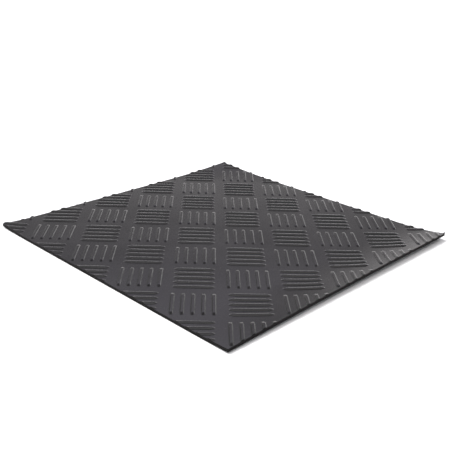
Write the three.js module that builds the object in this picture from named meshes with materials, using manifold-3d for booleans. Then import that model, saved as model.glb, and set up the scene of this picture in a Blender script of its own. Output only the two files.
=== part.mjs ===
// Rubber checker plate flooring: one square piece of moulded rubber sheet with raised bars on top.
// The bars stand in groups of five, and the groups alternate in direction like the fields of a
// chessboard. The sheet lies on a floor: its +X edge and both corners of its -X edge curl up a little.
// Units are millimetres. X and Y run along the cut edges and Z is up. The origin is the centre of
// the underside, where the sheet touches the floor.

import * as THREE from "three";
import { mergeVertices } from "three/addons/utils/BufferGeometryUtils.js";
import Module from "manifold-3d";

// The cut piece of sheet
const sheetWidth = 250; // along X
const sheetLength = 250; // along Y
const baseThickness = 2.2; // rubber under the relief

// One raised bar
const barHeight = 0.8;
const barLength = 28.8;
const barFootWidth = 3.0;
const barShoulder = 0.6; // how far each flank leans in from foot to top
const barEndRun = 2.0; // how far each end leans in

// The pattern
const barsPerGroup = 5;
const barSpacing = 6.8; // middle of one bar to the middle of the next
const groupGap = 7.7; // from a group's outer flank to the bar ends of the next group
const patternTurn = 45.4; // degrees from the Y edge to the bars of the first group
const patternShiftX = 17.6; // middle of the first group
const patternShiftY = 3.0;

// How far the sheet lifts off the floor along its +X edge, and how far in from the edge that reaches
const edgeLiftStart = 0.9; // at the -Y end of the edge
const edgeLiftMiddle = 3.3;
const edgeLiftEnd = 3.7; // at the +Y end of the edge
const edgeLiftReach = 39;

// How far the two corners of the -X edge lift, and how far in from the corner that reaches
const farCornerLift = 2.5; // at -X +Y
const farCornerReach = 56;
const sideCornerLift = 1.3; // at -X -Y
const sideCornerReach = 22;

// Facets across the lifted edge
const facetsAcrossLift = 3;

// Sizes that follow
const groupWidth = (barsPerGroup - 1) * barSpacing + barFootWidth;
const groupPitch = groupWidth / 2 + groupGap + barLength / 2;
const gridStep = edgeLiftReach / facetsAcrossLift;
const barRoot = baseThickness / 4; // how deep a bar's own solid reaches into the base
const maxLift = Math.max(edgeLiftStart, edgeLiftMiddle, edgeLiftEnd) + farCornerLift + sideCornerLift;

// A curl that is zero until reach from the end of its line and grows with the square from there.
function curl(distanceFromEnd, reach) {
  const share = Math.max(1 - distanceFromEnd / reach, 0);
  return share * share;
}

// Height of the lifted edge along Y: a curve through its values at the start, middle and end.
function edgeLift(y) {
  const along = (2 * y) / sheetLength;
  const start = (edgeLiftStart * along * (along - 1)) / 2;
  const middle = edgeLiftMiddle * (1 - along * along);
  const end = (edgeLiftEnd * along * (along + 1)) / 2;
  return start + middle + end;
}

// How far the sheet is off the floor at a place.
function lift(x, y) {
  const fromEdge = sheetWidth / 2 - x;
  const fromFarCorner = (sheetWidth / 2 + x + (sheetLength / 2 - y)) / Math.SQRT2;
  const fromSideCorner = (sheetWidth / 2 + x + (sheetLength / 2 + y)) / Math.SQRT2;
  const edge = edgeLift(y) * curl(fromEdge, edgeLiftReach);
  const farCorner = farCornerLift * curl(fromFarCorner, farCornerReach);
  const sideCorner = sideCornerLift * curl(fromSideCorner, sideCornerReach);
  return edge + farCorner + sideCorner;
}

// Moves every corner of a geometry up by the sheet's lift at its place.
function curlWithSheet(geometry) {
  const places = geometry.attributes.position;
  for (let i = 0; i < places.count; i += 1) {
    const raised = places.getZ(i) + lift(places.getX(i), places.getY(i));
    places.setZ(i, raised);
  }
  return geometry;
}

const wasm = await Module();
wasm.setup();

// A closed geometry as a solid that can be joined and cut.
function toSolid(geometry) {
  const bare = geometry.clone();
  bare.deleteAttribute("normal");
  bare.deleteAttribute("uv");
  const merged = mergeVertices(bare, 1e-4);
  return new wasm.Manifold(
    new wasm.Mesh({
      numProp: 3,
      vertProperties: new Float32Array(merged.attributes.position.array),
      triVerts: new Uint32Array(merged.index.array),
    }),
  );
}

function toGeometry(solid) {
  const mesh = solid.getMesh();
  const geometry = new THREE.BufferGeometry();
  geometry.setAttribute("position", new THREE.BufferAttribute(mesh.vertProperties, 3));
  geometry.setIndex(new THREE.BufferAttribute(mesh.triVerts, 1));
  geometry.computeVertexNormals();
  return geometry;
}

// The base is laid out a little larger than the sheet in square fields, so that it can curl.
// Its upper edge of fields lines up with the +X and +Y edges.
function makeBase() {
  const fieldsAlongX = Math.ceil(sheetWidth / gridStep) + 2;
  const fieldsAlongY = Math.ceil(sheetLength / gridStep) + 2;
  const width = fieldsAlongX * gridStep;
  const length = fieldsAlongY * gridStep;
  const base = new THREE.BoxGeometry(width, length, baseThickness, fieldsAlongX, fieldsAlongY, 1);
  base.translate(
    sheetWidth / 2 + gridStep - width / 2,
    sheetLength / 2 + gridStep - length / 2,
    baseThickness / 2,
  );
  return toSolid(curlWithSheet(base));
}

// Corners around a bar at one height, in order: its blunt points on the Y axis and the two ends of
// each flank. A bar that bends with the sheet has one more corner in the middle of each flank.
function barOutline(halfWidth, halfLength, bends) {
  const flankEnd = halfLength - halfWidth / 2;
  const flank = bends ? [flankEnd, 0, -flankEnd] : [flankEnd, -flankEnd];
  return [
    new THREE.Vector2(0, halfLength),
    ...flank.map((y) => new THREE.Vector2(-halfWidth, y)),
    new THREE.Vector2(0, -halfLength),
    ...flank.map((y) => new THREE.Vector2(halfWidth, -y)),
  ];
}

// A bar narrows from its root, inside the base, to its flat top. Its flanks and its ends lean in all
// the way, the ends more gently.
function makeBarGeometry(bends) {
  const rootShare = barRoot / barHeight;
  const rootHalfWidth = barFootWidth / 2 + barShoulder * rootShare;
  const rootHalfLength = barLength / 2 + barEndRun * rootShare;
  const rootOutline = barOutline(rootHalfWidth, rootHalfLength, bends);
  const topOutline = barOutline(barFootWidth / 2 - barShoulder, barLength / 2 - barEndRun, bends);
  const rootPlaces = rootOutline.map((corner) => [corner.x, corner.y, baseThickness - barRoot]);
  const topPlaces = topOutline.map((corner) => [corner.x, corner.y, baseThickness + barHeight]);
  const corners = topOutline.length;
  const triangles = [];
  for (const [a, b, c] of THREE.ShapeUtils.triangulateShape(topOutline, [])) {
    triangles.push(corners + a, corners + b, corners + c);
    triangles.push(c, b, a);
  }
  for (let corner = 0; corner < corners; corner += 1) {
    const next = (corner + 1) % corners;
    triangles.push(corner, next, corners + next);
    triangles.push(corner, corners + next, corners + corner);
  }
  const bar = new THREE.BufferGeometry();
  bar.setAttribute("position", new THREE.Float32BufferAttribute([...rootPlaces, ...topPlaces].flat(), 3));
  bar.setIndex(triangles);
  return bar;
}

// Where each bar of the pattern that touches the sheet stands, as a matrix.
function placeBars() {
  const halfWidth = sheetWidth / 2 + barLength / 2;
  const halfLength = sheetLength / 2 + barLength / 2;
  const reach = Math.hypot(halfWidth, halfLength) + Math.hypot(patternShiftX, patternShiftY);
  const groups = Math.ceil(reach / groupPitch);
  const pattern = new THREE.Matrix4()
    .makeTranslation(patternShiftX, patternShiftY, 0)
    .multiply(new THREE.Matrix4().makeRotationZ(THREE.MathUtils.degToRad(patternTurn)));
  const places = [];
  for (let column = -groups; column <= groups; column += 1) {
    for (let row = -groups; row <= groups; row += 1) {
      const isCrosswise = (column + row) % 2 !== 0;
      const group = pattern
        .clone()
        .multiply(new THREE.Matrix4().makeTranslation(column * groupPitch, row * groupPitch, 0))
        .multiply(new THREE.Matrix4().makeRotationZ(isCrosswise ? Math.PI / 2 : 0));
      for (let i = 0; i < barsPerGroup; i += 1) {
        const across = (i - (barsPerGroup - 1) / 2) * barSpacing;
        const place = group.clone().multiply(new THREE.Matrix4().makeTranslation(across, 0, 0));
        const middle = new THREE.Vector3().setFromMatrixPosition(place);
        if (Math.abs(middle.x) < halfWidth && Math.abs(middle.y) < halfLength) {
          places.push(place);
        }
      }
    }
  }
  return places;
}

// True where the sheet is off the floor at the middle or either end of a bar.
function isLifted(place) {
  return [-barLength / 2, 0, barLength / 2].some((y) => {
    const spot = new THREE.Vector3(0, y, 0).applyMatrix4(place);
    return lift(spot.x, spot.y) > 0;
  });
}

function makeBars() {
  const straightBar = makeBarGeometry(false);
  const bendingBar = makeBarGeometry(true);
  return placeBars().map((place) => {
    const bar = isLifted(place) ? bendingBar.clone() : straightBar.clone();
    return toSolid(curlWithSheet(bar.applyMatrix4(place)));
  });
}

// The knife cuts straight down along the four edges, through base and bars.
function makeCutBlock() {
  const height = 2 * (baseThickness + barHeight + maxLift);
  return toSolid(new THREE.BoxGeometry(sheetWidth, sheetLength, height));
}

function makeSheet() {
  const moulded = wasm.Manifold.union([makeBase(), ...makeBars()]);
  return toGeometry(moulded.intersect(makeCutBlock()));
}

const blackRubber = new THREE.MeshStandardMaterial({
  color: 0x2a2b2d,
  roughness: 0.5,
  metalness: 0,
});

const sheet = new THREE.Mesh(makeSheet(), blackRubber);
sheet.name = "checker_sheet";

const flooring = new THREE.Group();
flooring.add(sheet);

export default flooring;
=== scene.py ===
# %% [markdown]
# # Rubber checker plate flooring
# The object is one square piece of black rubber sheet. Raised bars stand on it in groups of five, and
# the groups alternate in direction like the fields of a chessboard. The solid model gives the size,
# the pattern and the curl of the edges. This lesson builds the surface that the eye sees on top of
# it: bars with soft shoulders and round ends, knife-cut edges, and three finishes of one rubber.

# %% Load the solid model
import math

import bmesh
import bpy
from mathutils import Matrix, Vector
from mathutils.geometry import delaunay_2d_cdt


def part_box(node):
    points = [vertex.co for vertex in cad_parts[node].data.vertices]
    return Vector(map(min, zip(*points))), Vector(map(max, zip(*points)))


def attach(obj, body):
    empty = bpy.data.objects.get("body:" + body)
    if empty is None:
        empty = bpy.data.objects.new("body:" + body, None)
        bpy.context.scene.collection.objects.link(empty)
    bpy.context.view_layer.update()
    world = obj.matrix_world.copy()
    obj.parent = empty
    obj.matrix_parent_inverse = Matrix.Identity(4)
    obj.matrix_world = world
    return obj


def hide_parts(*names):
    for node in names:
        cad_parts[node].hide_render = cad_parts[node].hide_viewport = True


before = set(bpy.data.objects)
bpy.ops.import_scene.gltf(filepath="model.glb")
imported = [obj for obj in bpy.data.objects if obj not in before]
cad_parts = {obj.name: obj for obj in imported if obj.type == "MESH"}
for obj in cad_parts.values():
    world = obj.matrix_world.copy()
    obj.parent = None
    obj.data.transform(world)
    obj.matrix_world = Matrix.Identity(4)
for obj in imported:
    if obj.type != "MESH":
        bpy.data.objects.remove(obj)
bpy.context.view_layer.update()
print("solid nodes:", sorted(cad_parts))

# %% [markdown]
# ## Sizes
# Blender works in metres, so every size is written in millimetres times one constant. The driving
# sizes are those of the solid model. What only the eye needs, such as the run of a soft shoulder,
# is added here.

# %% Sizes of the sheet and its bars
MM = 0.001
SHEET_LOW, SHEET_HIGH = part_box("checker_sheet")
HALF_WIDTH = (SHEET_HIGH.x - SHEET_LOW.x) / 2
HALF_LENGTH = (SHEET_HIGH.y - SHEET_LOW.y) / 2
BASE_THICKNESS = 2.2 * MM

BAR_HEIGHT = 0.8 * MM
BAR_LENGTH = 28.8 * MM
BAR_WIDTH = 3.0 * MM  # over the soft foot of the flanks
FLANK_RUN = 0.8 * MM  # from the start of the foot to the flat top, at the sides
END_RUN = 3.2 * MM  # the same at the ends, which rise more gently
BARS_PER_GROUP = 5
BAR_SPACING = 6.8 * MM
GROUP_PITCH = 37.2 * MM
PATTERN_TURN = math.radians(45.4)
PATTERN_MIDDLE = Vector((17.6 * MM, 3.0 * MM, 0))
print("sheet", round(2 * HALF_WIDTH / MM), "by", round(2 * HALF_LENGTH / MM), "mm")

# %% [markdown]
# ## How the sheet curls
# A fresh piece cut from a roll doesn't lie quite flat. Here the edge on the right comes up a few
# millimetres, and so do two corners. Each curl starts level and grows with the square of the
# distance, as a bent strip does. One function gives the lift at any place. Every vertex is moved
# by it at the end, so the modelling itself is done on a flat sheet, where it is easy.

# %% The lift at a place
EDGE_LIFT_START = 0.9 * MM
EDGE_LIFT_MIDDLE = 3.3 * MM
EDGE_LIFT_END = 3.7 * MM
EDGE_LIFT_REACH = 39 * MM
FAR_CORNER_LIFT = 2.5 * MM
FAR_CORNER_REACH = 56 * MM
SIDE_CORNER_LIFT = 1.3 * MM
SIDE_CORNER_REACH = 22 * MM


def curl(distance_from_end, reach):
    return max(1 - distance_from_end / reach, 0) ** 2


def edge_lift(y):
    """The lift of the +X edge at y: a curve through its start, middle and end."""
    along = y / HALF_LENGTH
    start = EDGE_LIFT_START * along * (along - 1) / 2
    middle = EDGE_LIFT_MIDDLE * (1 - along * along)
    end = EDGE_LIFT_END * along * (along + 1) / 2
    return start + middle + end


def lift(x, y):
    edge = edge_lift(y) * curl(HALF_WIDTH - x, EDGE_LIFT_REACH)
    from_far_corner = (HALF_WIDTH + x + HALF_LENGTH - y) / math.sqrt(2)
    from_side_corner = (HALF_WIDTH + x + HALF_LENGTH + y) / math.sqrt(2)
    far_corner = FAR_CORNER_LIFT * curl(from_far_corner, FAR_CORNER_REACH)
    side_corner = SIDE_CORNER_LIFT * curl(from_side_corner, SIDE_CORNER_REACH)
    return edge + far_corner + side_corner


print("lift at the right corner:", round(lift(HALF_WIDTH, HALF_LENGTH) / MM, 2), "mm")

# %% [markdown]
# ## Where the bars stand
# The pattern is a square lattice turned by about 45 degrees to the cut edges. Every second group is
# turned a further quarter. A matrix for each bar says where it stands, which keeps the shape of a
# bar and the layout of the pattern apart. Bars that the knife went through are kept whole for now.

# %% Matrices of the bars
def bar_matrices():
    pattern = Matrix.Translation(PATTERN_MIDDLE) @ Matrix.Rotation(PATTERN_TURN, 4, "Z")
    reach_x = HALF_WIDTH + BAR_LENGTH / 2
    reach_y = HALF_LENGTH + BAR_LENGTH / 2
    groups = math.ceil((math.hypot(reach_x, reach_y) + PATTERN_MIDDLE.length) / GROUP_PITCH)
    matrices = []
    for column in range(-groups, groups + 1):
        for row in range(-groups, groups + 1):
            quarter = math.pi / 2 if (column + row) % 2 else 0
            step = Matrix.Translation((column * GROUP_PITCH, row * GROUP_PITCH, 0))
            group = pattern @ step @ Matrix.Rotation(quarter, 4, "Z")
            for i in range(BARS_PER_GROUP):
                across = (i - (BARS_PER_GROUP - 1) / 2) * BAR_SPACING
                place = group @ Matrix.Translation((across, 0, 0))
                if abs(place.translation.x) < reach_x and abs(place.translation.y) < reach_y:
                    matrices.append(place)
    return matrices


BARS = bar_matrices()
print("bars that touch the sheet:", len(BARS))

# %% [markdown]
# ## The shape of one bar
# A moulded bar has no sharp arris: rubber leaves the mould with a small fillet at the foot and a
# rounded shoulder. The flank is drawn as rings, one inside the other, whose height follows a soft S.
# Each ring is a long outline with a half circle at both ends. The ends slope down further than the
# sides, in a curve that starts level on the top and is steepest at the foot. One more ring lies level
# around the foot. Without it the shading of the flank would spread over the large flat triangles.

# %% Rings around one bar
END_STEPS = 8
SIDE_STEPS = 4
FLANK_RINGS = 6
FOOT_MARGIN = 0.25 * MM  # a level strip around the foot, which keeps the shading of the base flat


def bar_outline(flank_inset, end_inset):
    """Points around a bar, inset from its foot, counter-clockwise from the +X flank."""
    radius = BAR_WIDTH / 2 - flank_inset
    end_middle = BAR_LENGTH / 2 - end_inset - radius
    points = []
    for side in (1, -1):
        for step in range(END_STEPS + 1):
            angle = math.pi * step / END_STEPS
            points.append((side * radius * math.cos(angle), side * (end_middle + radius * math.sin(angle))))
        for step in range(1, SIDE_STEPS):
            points.append((-side * radius, side * end_middle * (1 - 2 * step / SIDE_STEPS)))
    return points


def soft_step(share):
    return share * share * (3 - 2 * share)


def bar_rings():
    """Rings from just outside the foot to the flat top: each has its points and its height."""
    rings = [(bar_outline(-FOOT_MARGIN, -FOOT_MARGIN), 0.0)]
    for ring in range(FLANK_RINGS + 1):
        share = ring / FLANK_RINGS
        height_share = soft_step(share)
        end_share = 1 - math.sqrt(1 - height_share)
        rings.append((bar_outline(FLANK_RUN * share, END_RUN * end_share), BAR_HEIGHT * height_share))
    return rings


RINGS = bar_rings()
RING_POINTS = len(RINGS[0][0])
print("points in a ring:", RING_POINTS, "rings:", len(RINGS))

# %% [markdown]
# ## The plan of the upper face
# The level rubber between the bars has to meet every bar point for point. A constrained Delaunay
# triangulation does this: it takes the outline of each foot and a loose grid of points for the curl,
# and returns triangles that respect the outlines. Triangles inside an outline are left out, because
# the bar's own rings go there. Grid points very near a bar would give slivers, so they are skipped.

# %% Triangulate the level rubber
GRID_STEP = 5.2 * MM  # so that no grid line falls on a cut
GRID_MARGIN = 30 * MM  # past the cut, so that whole bars fit
CLEAR_OF_BAR = 1.0 * MM
MERGE_DISTANCE = 1e-8  # plan points closer than this become one
ALL_TRIANGLES = 0  # what the triangulation returns: everything, or the inside of the outline
INSIDE_TRIANGLES = 1


def near_a_bar(x, y, inverses):
    for inverse in inverses:
        spot = inverse @ Vector((x, y, 0))
        beyond_end = max(abs(spot.y) - (BAR_LENGTH - BAR_WIDTH) / 2, 0)
        if math.hypot(spot.x, beyond_end) < BAR_WIDTH / 2 + CLEAR_OF_BAR:
            return True
    return False


def grid_values(half_size, step):
    count = math.ceil(half_size / step)
    return [half_size * i / count for i in range(-count, count + 1)]


def triangulate_level_rubber():
    inverses = [bar.inverted() for bar in BARS]
    points = []
    outlines = []
    for bar in BARS:
        start = len(points)
        points += [(bar @ Vector((x, y, 0))).to_2d() for x, y in RINGS[0][0]]
        outlines.append(list(range(start, start + RING_POINTS)))
    for x in grid_values(HALF_WIDTH + GRID_MARGIN, GRID_STEP):
        for y in grid_values(HALF_LENGTH + GRID_MARGIN, GRID_STEP):
            if not near_a_bar(x, y, inverses):
                points.append(Vector((x, y)))
    found = delaunay_2d_cdt(points, [], outlines, ALL_TRIANGLES, MERGE_DISTANCE, True)
    places, _, triangles, first_points, _, inside = found
    level = [triangle for triangle, outline in zip(triangles, inside) if not outline]
    place_of = {point: place for place, given in enumerate(first_points) for point in given}
    feet = [[place_of[point] for point in outline] for outline in outlines]
    return places, level, feet


plan_places, plan_triangles, plan_feet = triangulate_level_rubber()
print("triangles between the bars:", len(plan_triangles))

# %% Build the upper face
def build_upper_face(bm):
    level = [bm.verts.new((x, y, BASE_THICKNESS)) for x, y in plan_places]
    for corners in plan_triangles:
        bm.faces.new([level[corner] for corner in corners])
    for bar, foot in zip(BARS, plan_feet):
        build_bar(bm, bar, [level[place] for place in foot])
    loose = [vertex for vertex in level if not vertex.link_faces]
    bmesh.ops.delete(bm, geom=loose, context="VERTS")


def build_bar(bm, bar, foot):
    below = foot
    for points, height in RINGS[1:]:
        above = [bm.verts.new(bar @ Vector((x, y, BASE_THICKNESS + height))) for x, y in points]
        for i in range(RING_POINTS):
            following = (i + 1) % RING_POINTS
            bm.faces.new((below[i], below[following], above[following], above[i]))
        below = above
    close_bar_top(bm, below)


def close_bar_top(bm, rim):
    """Joins the +X half of the rim to the -X half by strips across the bar."""
    quarter = END_STEPS // 2
    turned = rim[quarter:] + rim[:quarter]
    half = RING_POINTS // 2
    left = turned[: half + 1]
    right = [turned[0]] + turned[: half - 1 : -1]
    for i in range(half):
        corners = [left[i], left[i + 1], right[i + 1], right[i]]
        distinct = list(dict.fromkeys(corners))
        bm.faces.new(distinct)


sheet_bm = bmesh.new()
build_upper_face(sheet_bm)
print("faces of the uncut upper face:", len(sheet_bm.faces))

# %% [markdown]
# ## The knife
# The piece was cut from a roll with a straight blade, through base and bars alike. Blender's bisect
# tool does the same to the mesh: four planes, and what lies outside each is thrown away. Points that
# fall almost together on a cut are made one, or the underside could miss them and leave a gap. The
# open rim is then drawn down to the floor as the cut edge, and the underside closes the body.

# %% Cut the four edges and close the body
FACE_MOULDED = 0
FACE_CUT = 1
FACE_UNDER = 2
UNDERSIDE_STEP = 8 * MM
WELD_DISTANCE = 0.02 * MM  # cut points closer than this become one
ON_CUT = 0.01 * MM  # how near to a cut a point counts as lying on it


def cut_edges(bm):
    for direction, distance in (
        (Vector((1, 0, 0)), HALF_WIDTH),
        (Vector((-1, 0, 0)), HALF_WIDTH),
        (Vector((0, 1, 0)), HALF_LENGTH),
        (Vector((0, -1, 0)), HALF_LENGTH),
    ):
        everything = bm.verts[:] + bm.edges[:] + bm.faces[:]
        bmesh.ops.bisect_plane(
            bm, geom=everything, plane_co=direction * distance, plane_no=direction, clear_outer=True
        )
        move_onto_cut(bm, direction, distance)
    bmesh.ops.remove_doubles(bm, verts=bm.verts[:], dist=WELD_DISTANCE)


def move_onto_cut(bm, direction, distance):
    """Puts every point that lies almost on a cut exactly on it."""
    for vertex in bm.verts:
        past_cut = vertex.co.dot(direction) - distance
        if abs(past_cut) < WELD_DISTANCE:
            vertex.co -= direction * past_cut


def draw_down_cut_faces(bm):
    rim = [edge for edge in bm.edges if edge.is_boundary]
    for edge in rim:
        edge.smooth = False
    drawn = bmesh.ops.extrude_edge_only(bm, edges=rim)["geom"]
    for item in drawn:
        if isinstance(item, bmesh.types.BMVert):
            item.co.z = 0
        if isinstance(item, bmesh.types.BMFace):
            item.material_index = FACE_CUT
        if isinstance(item, bmesh.types.BMEdge):
            item.smooth = not is_corner_edge(item)


def is_corner_edge(edge):
    middle = (edge.verts[0].co + edge.verts[1].co) / 2
    on_x = abs(abs(middle.x) - HALF_WIDTH) < ON_CUT
    on_y = abs(abs(middle.y) - HALF_LENGTH) < ON_CUT
    return on_x and on_y


def close_underside(bm):
    rim = [edge for edge in bm.edges if edge.is_boundary]
    for edge in rim:
        edge.smooth = False
    rim_vertices = list(dict.fromkeys(vertex for edge in rim for vertex in edge.verts))
    number = {vertex: i for i, vertex in enumerate(rim_vertices)}
    points = [vertex.co.to_2d() for vertex in rim_vertices]
    for x in grid_values(HALF_WIDTH, UNDERSIDE_STEP)[1:-1]:
        for y in grid_values(HALF_LENGTH, UNDERSIDE_STEP)[1:-1]:
            points.append(Vector((x, y)))
    rim_pairs = [(number[edge.verts[0]], number[edge.verts[1]]) for edge in rim]
    found = delaunay_2d_cdt(points, rim_pairs, [], INSIDE_TRIANGLES, MERGE_DISTANCE, True)
    places, _, triangles, first_points, _, _ = found
    vertices = []
    for place, given in zip(places, first_points):
        on_rim = [point for point in given if point < len(rim_vertices)]
        vertices.append(rim_vertices[on_rim[0]] if on_rim else bm.verts.new((*place, 0)))
    for corners in triangles:
        face = bm.faces.new([vertices[corner] for corner in reversed(corners)])
        face.material_index = FACE_UNDER


cut_edges(sheet_bm)
draw_down_cut_faces(sheet_bm)
close_underside(sheet_bm)
open_edges = [edge for edge in sheet_bm.edges if not edge.is_manifold]
print("faces:", len(sheet_bm.faces), "open edges:", len(open_edges))

# %% Curl the body and hand it to Blender
def curl_body(bm):
    for vertex in bm.verts:
        vertex.co.z += lift(vertex.co.x, vertex.co.y)


def to_object(bm, name):
    bmesh.ops.recalc_face_normals(bm, faces=bm.faces[:])
    for face in bm.faces:
        face.smooth = True
    mesh = bpy.data.meshes.new(name)
    bm.to_mesh(mesh)
    bm.free()
    made = bpy.data.objects.new(name, mesh)
    bpy.context.scene.collection.objects.link(made)
    return made


curl_body(sheet_bm)
sheet = to_object(sheet_bm, "moulded_sheet")
sheet_triangles = sum(len(polygon.vertices) - 2 for polygon in sheet.data.polygons)
print("triangles of the sheet:", sheet_triangles)

# %% [markdown]
# ## Effects that the finishes share
# The moulded face, the cut edge and the underside are the same rubber, so grain and handling marks
# are built once, as node groups with named sockets. Each group gives out only masks and heights. The
# shader stays in the material, so that each finish keeps its own gloss.

# %% Helpers for node trees
def new_group(name, inputs, outputs):
    """A shader node group whose inputs are {name: default} and whose outputs are names of floats."""
    group = bpy.data.node_groups.new(name, "ShaderNodeTree")
    for socket_name, default in inputs.items():
        socket = group.interface.new_socket(socket_name, in_out="INPUT", socket_type="NodeSocketFloat")
        socket.default_value = default
    for socket_name in outputs:
        group.interface.new_socket(socket_name, in_out="OUTPUT", socket_type="NodeSocketFloat")
    start = group.nodes.new("NodeGroupInput")
    end = group.nodes.new("NodeGroupOutput")
    return group, start, end


def add_node(tree, kind, **settings):
    node = tree.nodes.new(kind)
    for name, value in settings.items():
        setattr(node, name, value)
    return node


def add_noise(tree, place, scale, detail=3.0, roughness=0.5):
    """A noise texture read at place. Scale is a number, or a socket to link."""
    node = add_node(tree, "ShaderNodeTexNoise")
    tree.links.new(place, node.inputs["Vector"])
    node.inputs["Detail"].default_value = detail
    node.inputs["Roughness"].default_value = roughness
    if isinstance(scale, (int, float)):
        node.inputs["Scale"].default_value = scale
    else:
        tree.links.new(scale, node.inputs["Scale"])
    return node.outputs["Fac"]


def add_range(tree, value, low, high, to_low=0.0, to_high=1.0):
    """Maps low..high to to_low..to_high and clamps the result."""
    node = add_node(tree, "ShaderNodeMapRange", clamp=True)
    tree.links.new(value, node.inputs["Value"])
    node.inputs["From Min"].default_value = low
    node.inputs["From Max"].default_value = high
    node.inputs["To Min"].default_value = to_low
    node.inputs["To Max"].default_value = to_high
    return node.outputs["Result"]


def add_math(tree, operation, first, second):
    node = add_node(tree, "ShaderNodeMath", operation=operation)
    for socket, value in zip(node.inputs, (first, second)):
        if isinstance(value, (int, float)):
            socket.default_value = value
        else:
            tree.links.new(value, socket)
    return node.outputs["Value"]


# %% Grain of moulded rubber
def make_grain_group():
    """Height of the fine grain: soft pimples with a few pores between them."""
    group, start, end = new_group("rubber_grain", {"Scale": 1800.0, "Pores": 0.5}, ["Height"])
    place = add_node(group, "ShaderNodeTexCoord").outputs["Object"]
    pimples = add_noise(group, place, start.outputs["Scale"], detail=4.0, roughness=0.6)
    pore_scale = add_math(group, "MULTIPLY", start.outputs["Scale"], 0.35)
    pores = add_node(group, "ShaderNodeTexVoronoi")
    group.links.new(place, pores.inputs["Vector"])
    group.links.new(pore_scale, pores.inputs["Scale"])
    pit = add_range(group, pores.outputs["Distance"], 0.0, 0.22, 1.0, 0.0)
    depth = add_math(group, "MULTIPLY", pit, start.outputs["Pores"])
    height = add_math(group, "SUBTRACT", pimples, depth)
    group.links.new(height, end.inputs["Height"])
    return group


GRAIN = make_grain_group()
print("group:", GRAIN.name)

# %% Marks of handling
def make_handling_group():
    """Film: a cloudy bloom on the rubber. Specks: sparse grains of dust."""
    inputs = {"Cloud Scale": 18.0, "Speck Scale": 420.0, "Speck Amount": 0.5}
    group, start, end = new_group("handling_marks", inputs, ["Film", "Specks"])
    place = add_node(group, "ShaderNodeTexCoord").outputs["Object"]
    cloud = add_noise(group, place, start.outputs["Cloud Scale"], detail=5.0, roughness=0.62)
    film = add_range(group, cloud, 0.32, 0.72)
    group.links.new(film, end.inputs["Film"])
    dust = add_node(group, "ShaderNodeTexVoronoi")
    group.links.new(place, dust.inputs["Vector"])
    group.links.new(start.outputs["Speck Scale"], dust.inputs["Scale"])
    near = add_range(group, dust.outputs["Distance"], 0.05, 0.12, 1.0, 0.0)
    chosen = add_node(group, "ShaderNodeSeparateColor")
    group.links.new(dust.outputs["Color"], chosen.inputs["Color"])
    sparse = add_range(group, chosen.outputs["Red"], 0.86, 0.9)
    speck = add_math(group, "MULTIPLY", near, sparse)
    shown = add_math(group, "MULTIPLY", speck, start.outputs["Speck Amount"])
    group.links.new(shown, end.inputs["Specks"])
    return group


HANDLING = make_handling_group()
print("group:", HANDLING.name)

# %% [markdown]
# ## The three finishes
# Moulded black rubber is a satin surface: at a low angle it mirrors the room as a broad grey sheen,
# and the slopes of the bars break that sheen into light tips and dark ends. The knife leaves a
# rougher face that hardly shines. The underside carries the print of the cloth it was pressed on.

# %% Parts that each finish uses
def new_material(name):
    material = bpy.data.materials.new(name)
    material.use_nodes = True
    return material, material.node_tree, material.node_tree.nodes["Principled BSDF"]


def place_group(tree, group, values):
    node = add_node(tree, "ShaderNodeGroup", node_tree=group)
    for name, value in values.items():
        node.inputs[name].default_value = value
    return node


def mix_colours(tree, factor, first, second):
    node = add_node(tree, "ShaderNodeMix", data_type="RGBA")
    tree.links.new(factor, node.inputs["Factor"])
    for socket, value in ((node.inputs["A"], first), (node.inputs["B"], second)):
        if isinstance(value, tuple):
            socket.default_value = (*value, 1.0)
        else:
            tree.links.new(value, socket)
    return node.outputs["Result"]


def add_bump(tree, shader, height, distance, strength):
    node = add_node(tree, "ShaderNodeBump")
    node.inputs["Distance"].default_value = distance
    node.inputs["Strength"].default_value = strength
    tree.links.new(height, node.inputs["Height"])
    tree.links.new(node.outputs["Normal"], shader.inputs["Normal"])


def colour_with_marks(tree, marks, rubber, bloom, dust):
    """Rubber, with bloom where the film lies and dust on the specks."""
    filmed = mix_colours(tree, marks.outputs["Film"], rubber, bloom)
    return mix_colours(tree, marks.outputs["Specks"], filmed, dust)


DUST_COLOUR = (0.16, 0.155, 0.15)
MOULDED_BLACK, MOULDED_BLOOM = (0.0080, 0.0078, 0.0080), (0.0125, 0.0122, 0.0126)
CUT_BLACK, CUT_BLOOM = (0.0075, 0.0070, 0.0068), (0.011, 0.0105, 0.0102)
UNDER_BLACK, UNDER_BLOOM = (0.014, 0.014, 0.0145), (0.026, 0.0255, 0.025)


# %% Moulded face
def make_moulded_rubber():
    material, tree, shader = new_material("moulded_rubber")
    marks = place_group(tree, HANDLING, {"Cloud Scale": 16.0, "Speck Scale": 420.0, "Speck Amount": 0.35})
    grain = place_group(tree, GRAIN, {"Scale": 1800.0, "Pores": 0.4})
    colour = colour_with_marks(tree, marks, MOULDED_BLACK, MOULDED_BLOOM, DUST_COLOUR)
    tree.links.new(colour, shader.inputs["Base Color"])
    gloss = add_range(tree, marks.outputs["Film"], 0.0, 1.0, 0.17, 0.22)
    tree.links.new(gloss, shader.inputs["Roughness"])
    shader.inputs["IOR"].default_value = 1.5
    add_bump(tree, shader, grain.outputs["Height"], 0.02 * MM, 0.5)
    return material


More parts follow.
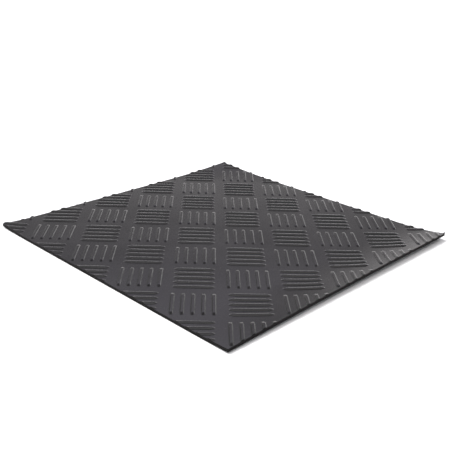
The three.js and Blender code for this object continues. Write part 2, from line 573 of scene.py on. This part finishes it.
# %% Cut edge
def make_cut_rubber():
    material, tree, shader = new_material("cut_rubber")
    marks = place_group(tree, HANDLING, {"Cloud Scale": 60.0, "Speck Scale": 600.0, "Speck Amount": 0.25})
    grain = place_group(tree, GRAIN, {"Scale": 2600.0, "Pores": 0.8})
    colour = colour_with_marks(tree, marks, CUT_BLACK, CUT_BLOOM, DUST_COLOUR)
    tree.links.new(colour, shader.inputs["Base Color"])
    strokes = add_node(tree, "ShaderNodeTexWave", wave_type="BANDS", bands_direction="Z")
    place = add_node(tree, "ShaderNodeTexCoord").outputs["Object"]
    tree.links.new(place, strokes.inputs["Vector"])
    strokes.inputs["Scale"].default_value = 900.0
    strokes.inputs["Distortion"].default_value = 3.0
    height = add_math(tree, "ADD", strokes.outputs["Fac"], grain.outputs["Height"])
    shader.inputs["Roughness"].default_value = 0.72
    shader.inputs["Specular IOR Level"].default_value = 0.1
    add_bump(tree, shader, height, 0.04 * MM, 0.6)
    return material


# %% Underside
def make_pressed_underside():
    material, tree, shader = new_material("pressed_underside")
    marks = place_group(tree, HANDLING, {"Cloud Scale": 22.0, "Speck Scale": 300.0, "Speck Amount": 0.6})
    grain = place_group(tree, GRAIN, {"Scale": 1500.0, "Pores": 0.3})
    colour = colour_with_marks(tree, marks, UNDER_BLACK, UNDER_BLOOM, DUST_COLOUR)
    tree.links.new(colour, shader.inputs["Base Color"])
    place = add_node(tree, "ShaderNodeTexCoord").outputs["Object"]
    threads = []
    for direction in ("X", "Y"):
        wave = add_node(tree, "ShaderNodeTexWave", wave_type="BANDS", bands_direction=direction)
        tree.links.new(place, wave.inputs["Vector"])
        wave.inputs["Scale"].default_value = 260.0
        wave.inputs["Distortion"].default_value = 0.4
        threads.append(wave.outputs["Fac"])
    weave = add_math(tree, "MULTIPLY", *threads)
    height = add_math(tree, "ADD", weave, add_math(tree, "MULTIPLY", grain.outputs["Height"], 0.4))
    shader.inputs["Roughness"].default_value = 0.62
    add_bump(tree, shader, height, 0.08 * MM, 0.7)
    return material


for finish in (make_moulded_rubber(), make_cut_rubber(), make_pressed_underside()):
    sheet.data.materials.append(finish)
    print("finish:", finish.name)

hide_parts("checker_sheet")
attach(sheet, "root")

# %% [markdown]
# ## The camera
# The camera stands where the photographer stood: in front of the near corner, at about the height of
# a hand above the floor, looking a little down. A place and three angles describe it better than
# a matrix of numbers. The heading is counted from the Y axis towards the left.

# %% Camera
CAMERA_PLACE = Vector((369.0, -386.8, 226.8)) * MM
CAMERA_HEADING = math.radians(43.59)
CAMERA_DOWN = math.radians(22.37)
CAMERA_ROLL = math.radians(-2.17)
CAMERA_LENS = 57.7  # millimetres, on a sensor 36 mm wide
SENSOR_WIDTH = 36.0


def camera_rotation():
    """Rotation from the heading, the tilt below the horizon and the roll of the picture."""
    ahead = Vector((-math.sin(CAMERA_HEADING), math.cos(CAMERA_HEADING), 0)) * math.cos(CAMERA_DOWN)
    ahead.z = -math.sin(CAMERA_DOWN)
    level = Vector((math.cos(CAMERA_HEADING), math.sin(CAMERA_HEADING), 0))
    below = ahead.cross(level)
    right = level * math.cos(CAMERA_ROLL) + below * math.sin(CAMERA_ROLL)
    up = right.cross(ahead)
    return Matrix((right, up, -ahead)).transposed().to_4x4()


def make_camera():
    lens = bpy.data.cameras.new("camera")
    lens.sensor_fit = "HORIZONTAL"
    lens.sensor_width = SENSOR_WIDTH
    lens.lens = CAMERA_LENS
    camera = bpy.data.objects.new("camera", lens)
    bpy.context.scene.collection.objects.link(camera)
    camera.matrix_world = Matrix.Translation(CAMERA_PLACE) @ camera_rotation()
    bpy.context.scene.camera = camera


make_camera()
bpy.context.scene.view_settings.view_transform = "Standard"
print("camera height:", round(CAMERA_PLACE.z / MM), "mm")

# %% [markdown]
# ## The room
# The sheet lies on a plain white floor. Black rubber shows little of its own colour, so the light has
# to be judged by what it mirrors: the walls low on the horizon give the grey sheen and the light
# tips, windows at both sides give the light rims, and the dark ceiling gives the dark ends. One soft
# lamp from the far left whitens the floor and lays the shadow. The rubber mirrors the room only.

# %% Floor
FLOOR_HALF = 6.0
FLOOR_FIELDS = 8
FLOOR_WHITE = 0.86


def make_floor():
    bm = bmesh.new()
    bmesh.ops.create_grid(bm, x_segments=FLOOR_FIELDS, y_segments=FLOOR_FIELDS, size=FLOOR_HALF)
    floor = to_object(bm, "floor")
    material, tree, shader = new_material("white_floor")
    shader.inputs["Base Color"].default_value = (FLOOR_WHITE, FLOOR_WHITE, FLOOR_WHITE, 1.0)
    shader.inputs["Roughness"].default_value = 0.9
    shader.inputs["Specular IOR Level"].default_value = 0.2
    floor.data.materials.append(material)
    return floor


make_floor()

# %% Light
# Brightness of the room by height above the horizon: the sine of the height, then a colour.
ROOM_BANDS = (
    (0.00, (2.20, 2.12, 2.12)),
    (0.14, (1.28, 1.23, 1.25)),
    (0.28, (0.62, 0.60, 0.61)),
    (0.42, (0.20, 0.19, 0.20)),
    (0.52, (1.10, 1.05, 1.21)),
    (0.60, (0.85, 0.81, 0.95)),
    (0.72, (0.20, 0.19, 0.21)),
    (0.95, (0.26, 0.25, 0.26)),
)
# Panels in front of those walls: heading to the right of the camera's view, height above the
# horizon and half width in degrees, then a brightness.
ROOM_PANELS = {
    "window_behind": (180, 64, 22, 1.5),
    "window_right": (76, 42, 22, 1.9),
    "window_left": (-92, 40, 24, 1.6),
    "wall_left": (-34, 3, 15, 0.35),
    "wall_right": (36, 3, 15, 1.6),
    "dark_side": (128, 10, 38, 0.04),
}
PANEL_EDGE = 8  # degrees over which a panel fades


def panel_direction(heading, height):
    """Unit vector towards a panel. The heading is counted to the right of the camera's view."""
    turn = CAMERA_HEADING - math.radians(heading)
    rise = math.radians(height)
    return (-math.sin(turn) * math.cos(rise), math.cos(turn) * math.cos(rise), math.sin(rise))


def add_panel(tree, room, direction, panel):
    """Lays one panel over the room colour, with a soft edge."""
    heading, height, half_width, brightness = panel
    closeness = add_node(tree, "ShaderNodeVectorMath", operation="DOT_PRODUCT")
    tree.links.new(direction, closeness.inputs[0])
    closeness.inputs[1].default_value = panel_direction(heading, height)
    outside = math.cos(math.radians(half_width + PANEL_EDGE))
    inside = math.cos(math.radians(half_width - PANEL_EDGE))
    mask = add_range(tree, closeness.outputs["Value"], outside, inside)
    grey = tuple([brightness] * 3)
    return mix_colours(tree, mask, room, grey)


def make_room_light(bands, panels):
    world = bpy.data.worlds.new("room")
    bpy.context.scene.world = world
    world.use_nodes = True
    tree = world.node_tree
    direction = add_node(tree, "ShaderNodeTexCoord").outputs["Generated"]
    parts = add_node(tree, "ShaderNodeSeparateXYZ")
    tree.links.new(direction, parts.inputs["Vector"])
    ramp = add_node(tree, "ShaderNodeValToRGB")
    stops = ramp.color_ramp.elements
    while len(stops) < len(bands):
        stops.new(0.5)
    for stop, (position, colour) in zip(stops, bands):
        stop.position = position
        stop.color = (*colour, 1.0)
    tree.links.new(parts.outputs["Z"], ramp.inputs["Fac"])
    room = ramp.outputs["Color"]
    for panel in panels.values():
        room = add_panel(tree, room, direction, panel)
    tree.links.new(room, tree.nodes["Background"].inputs["Color"])


make_room_light(ROOM_BANDS, ROOM_PANELS)
print("panels in the room:", len(ROOM_PANELS))

# %% Key light
KEY_HEADING = -62  # degrees to the right of the camera's view, so this one is far left
KEY_HEIGHT = 60  # degrees above the horizon
KEY_SIZE = 36  # degrees across, which makes the shadow soft
KEY_STRENGTH = 3.4


def make_key_light():
    """Whitens the floor from the far left. The rubber doesn't mirror it, only the room."""
    light = bpy.data.lights.new("key", "SUN")
    light.energy = KEY_STRENGTH
    light.angle = math.radians(KEY_SIZE)
    key = bpy.data.objects.new("key", light)
    key.visible_glossy = False
    towards = Vector(panel_direction(KEY_HEADING, KEY_HEIGHT))
    key.rotation_euler = towards.to_track_quat("Z", "Y").to_euler()
    bpy.context.scene.collection.objects.link(key)


make_key_light()
print("key light:", KEY_HEIGHT, "degrees above the horizon")
